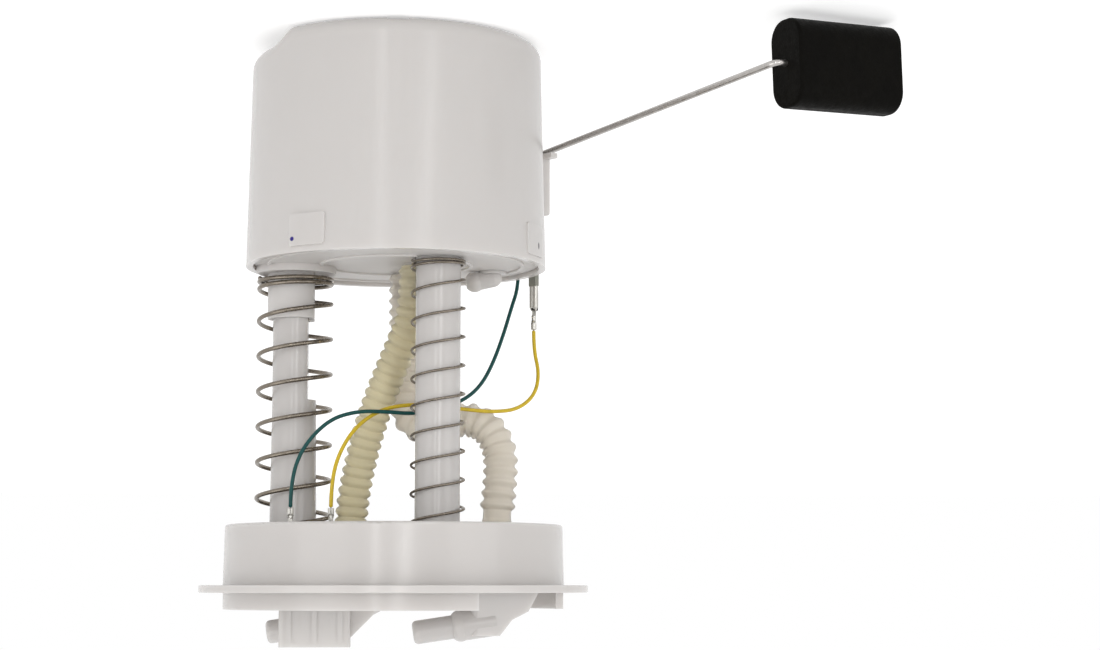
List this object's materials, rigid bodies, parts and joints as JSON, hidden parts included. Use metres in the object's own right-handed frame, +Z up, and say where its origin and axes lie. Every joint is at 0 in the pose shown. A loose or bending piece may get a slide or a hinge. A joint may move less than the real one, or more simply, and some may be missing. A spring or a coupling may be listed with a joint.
{
  "type": "in-tank fuel pump module",
  "caption": "Round sealing flange with spigots and a connector, over a pump pot on two spring-loaded guide columns, with hoses, wires and a level float on a wire arm.",
  "frame": {"origin": "centre of the flange's sealing face, on the axis of the drum", "axes": "+Z up, out of the tank and square to the sealing face; +X the way the two hose spigots point; the level arm reaches towards -X and -Y"},
  "size_m": [0.2296, 0.1339, 0.2035],
  "materials": {
    "flange_white": "moulded natural acetal, satin",
    "pot_white": "moulded natural acetal, satin",
    "column_white": "moulded natural acetal, satin",
    "hose_clear": "corrugated nylon, milky",
    "hose_cream": "corrugated nylon, cream",
    "wire_green": "insulation, smooth",
    "wire_yellow": "insulation, smooth",
    "spring_steel": "drawn spring wire",
    "arm_steel": "drawn stainless wire",
    "tinned": "tinned brass strip",
    "float_black": "closed-cell foam rubber",
    "black_plastic": "moulded, fine grain",
    "grey_plastic": "moulded, satin",
    "ceramic": "ceramic with a printed resistor",
    "rubber": "fuel-resistant rubber",
    "steel": "pressed steel",
    "aluminium": "die cast",
    "magnet": "sintered ferrite",
    "core": "lacquered laminations and windings",
    "copper": "drawn copper",
    "carbon": "pressed carbon",
    "nylon": "moulded nylon",
    "mesh": "woven nylon mesh"
  },
  "bodies": {
    "flange": {"flange_moulding": "flange_white", "connector_blades": "tinned", "guide_column_small": "column_white", "guide_column_big": "column_white", "spring_small": "spring_steel", "spring_big": "spring_steel", "supply_hose": "hose_clear", "return_hose": "hose_cream", "green_wire": "wire_green", "yellow_wire": "wire_yellow", "yellow_terminal_upper": "tinned", "green_terminal_upper": "tinned"},
    "pot": {"pot_shell": "pot_white", "pot_lid": "pot_white", "foot_valve": "rubber", "breather_elbow": "pot_white", "jet_pump": "nylon", "pump_shell": "steel", "pump_inlet_cover": "aluminium", "pump_chamber": "aluminium", "pump_magnets": "magnet", "pump_brushes": "carbon", "pump_outlet_cover": "nylon", "check_valve_stop": "steel", "outlet_grommet": "rubber", "pump_isolator": "rubber", "inlet_strainer": "mesh", "sender_housing": "pot_white", "resistor_card": "ceramic", "sender_posts": "grey_plastic", "sender_blades": "tinned", "yellow_terminal_lower": "tinned", "green_terminal_lower": "tinned"},
    "pump_rotor": {"armature": "core", "commutator": "copper", "impeller": "black_plastic"},
    "valve_poppet": {"check_valve": "nylon"},
    "float_arm": {"arm_hub": "grey_plastic", "wiper": "copper", "float_arm_wire": "arm_steel", "float_body": "float_black"}
  },
  "joints": [
    {"name": "pot_slide", "type": "slide", "parent": "flange", "child": "pot", "axis": [0, 0, 1], "range_m": [0, 0.027], "stiffness_N_per_m": 600, "springref_m": -0.06, "deforming": ["spring_small", "spring_big", "supply_hose", "return_hose", "green_wire", "yellow_wire"]},
    {"name": "rotor_spin", "type": "hinge", "parent": "pot", "child": "pump_rotor", "pos_m": [-0.0035, 0.0225, -0.15], "axis": [0, 0, 1], "continuous": true},
    {"name": "check_valve_lift", "type": "slide", "parent": "pot", "child": "valve_poppet", "axis": [0, 0, 1], "range_m": [0, 0.002], "stiffness_N_per_m": 60, "springref_m": -0.004},
    {"name": "float_arm_hinge", "type": "hinge", "parent": "pot", "child": "float_arm", "pos_m": [-0.04071, 0.03561, -0.15], "axis": [-0.788, 0.6157, 0], "range_deg": [0, 62]}
  ]
}
